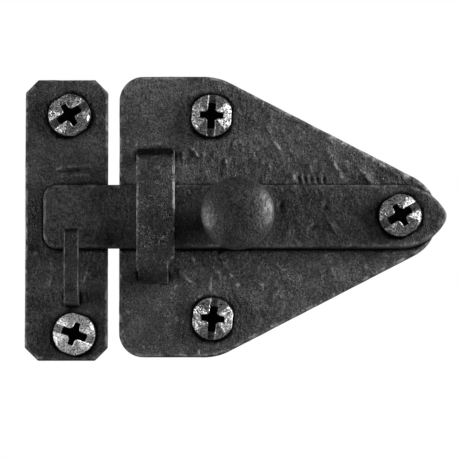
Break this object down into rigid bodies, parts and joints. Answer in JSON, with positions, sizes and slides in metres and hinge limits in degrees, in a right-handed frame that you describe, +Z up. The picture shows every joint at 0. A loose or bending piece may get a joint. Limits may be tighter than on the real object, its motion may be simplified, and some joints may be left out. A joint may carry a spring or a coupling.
{
  "type": "gravity gate latch",
  "caption": "Forged black iron gravity latch: a pivoted bar with a mushroom knob passes through a staple guide on a spear-shaped plate and drops behind a square hook on a separate strike plate.",
  "frame": {"origin": "the pivot's axis where it meets the mounting face at the back of the spear plate", "axes": "+X along the bar from its free end to its pivot, +Y into the timber, +Z up; the fronts face -Y"},
  "size_m": [0.085, 0.039, 0.0577],
  "materials": {
    "forged_iron": "matte black hammered iron, worn bright along its edges",
    "gunmetal_screw": "blackened steel, rubbed bright on the facets of its head",
    "plain_steel": "plain turned steel"
  },
  "bodies": {
    "latch": {"spear_plate": "forged_iron", "guide_loop": "forged_iron", "pivot_bush": "plain_steel", "pivot_screw": "gunmetal_screw", "upper_plate_screw": "gunmetal_screw", "lower_plate_screw": "gunmetal_screw"},
    "bar": {"latch_bar": "forged_iron", "knob": "forged_iron"},
    "strike": {"strike_plate": "forged_iron", "keeper_hook": "forged_iron", "upper_strike_screw": "gunmetal_screw", "lower_strike_screw": "gunmetal_screw"}
  },
  "joints": [
    {"name": "bar_pivot", "type": "hinge", "parent": "latch", "child": "bar", "pos_m": [0, 0, 0], "axis": [0, 1, 0], "range_deg": [-3.1, 5.1]},
    {"name": "strike_gap", "type": "slide", "parent": "latch", "child": "strike", "axis": [-1, 0, 0], "range_m": [0, 0.02]}
  ]
}
